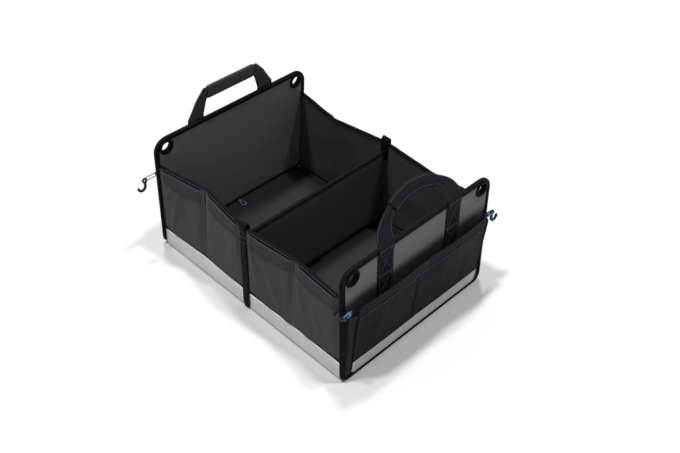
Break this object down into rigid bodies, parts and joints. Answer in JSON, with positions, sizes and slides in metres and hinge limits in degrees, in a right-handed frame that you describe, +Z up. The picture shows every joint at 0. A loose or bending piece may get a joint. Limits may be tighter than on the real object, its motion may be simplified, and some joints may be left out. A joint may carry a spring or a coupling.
{
  "type": "car boot organizer",
  "caption": "Folding fabric organizer for a car boot: stiff end panels with webbing handles and eyelets, lower folding side walls with pockets, a divider and lifting floor boards.",
  "frame": {"origin": "centre of the underside of the bottom panel, on the ground", "axes": "+X towards end B along the length, +Y towards the far side wall, +Z up"},
  "size_m": [0.5672, 0.46, 0.3331],
  "materials": {
    "grey_sheet": "coated polyester, matt",
    "black_fabric": "coated polyester, matt",
    "lining": "coated lining, slightly shiny",
    "board": "stiffener board, matt",
    "tape": "woven binding tape",
    "webbing": "woven webbing",
    "reflective": "silver reflective band",
    "eyelet": "black lacquer",
    "hook": "moulded plastic",
    "cord": "braided elastic cord"
  },
  "bodies": {
    "body": {"bottom_panel": "black_fabric", "divider_board": "board", "divider_cover": "lining", "end_a_binding": "tape", "end_a_cord_loop_far": "cord", "end_a_cord_loop_near": "cord", "end_a_eyelet_far": "eyelet", "end_a_eyelet_near": "eyelet", "end_a_handle_grip": "webbing", "end_a_handle_webbing": "webbing", "end_a_hook_far": "hook", "end_a_hook_near": "hook", "end_a_lining": "lining", "end_a_outer_sheet": "grey_sheet", "end_a_pocket": "black_fabric", "end_a_reflective_band": "reflective", "end_a_stiffener_board": "board", "end_b_binding": "tape", "end_b_cord_loop_far": "cord", "end_b_cord_loop_near": "cord", "end_b_eyelet_far": "eyelet", "end_b_eyelet_near": "eyelet", "end_b_handle_grip": "webbing", "end_b_handle_webbing": "webbing", "end_b_hook_far": "hook", "end_b_hook_near": "hook", "end_b_lining": "lining", "end_b_outer_sheet": "grey_sheet", "end_b_pocket": "black_fabric", "end_b_reflective_band": "reflective", "end_b_stiffener_board": "board", "floor_tab": "tape", "side_far_binding": "tape", "side_far_board_1": "board", "side_far_board_2": "board", "side_far_board_3": "board", "side_far_board_4": "board", "side_far_lining": "lining", "side_far_outer_sheet": "black_fabric", "side_far_pocket_a": "black_fabric", "side_far_pocket_b": "black_fabric", "side_far_reflective_band": "reflective", "side_far_strap": "webbing", "side_near_binding": "tape", "side_near_board_1": "board", "side_near_board_2": "board", "side_near_board_3": "board", "side_near_board_4": "board", "side_near_lining": "lining", "side_near_outer_sheet": "black_fabric", "side_near_pocket_a": "black_fabric", "side_near_pocket_b": "black_fabric", "side_near_reflective_band": "reflective", "side_near_strap": "webbing"},
    "floor_board_a": {"floor_board_a": "lining", "pull_loop_a": "cord"},
    "floor_board_b": {"floor_board_b": "lining", "pull_loop_b": "cord"}
  },
  "joints": [
    {"name": "floor_board_a_hinge", "type": "hinge", "parent": "body", "child": "floor_board_a", "pos_m": [-0.014, 0, 0.0031], "axis": [0, 1, 0], "range_deg": [0, 85]},
    {"name": "floor_board_b_hinge", "type": "hinge", "parent": "body", "child": "floor_board_b", "pos_m": [0.014, 0, 0.0031], "axis": [0, -1, 0], "range_deg": [0, 85]}
  ]
}
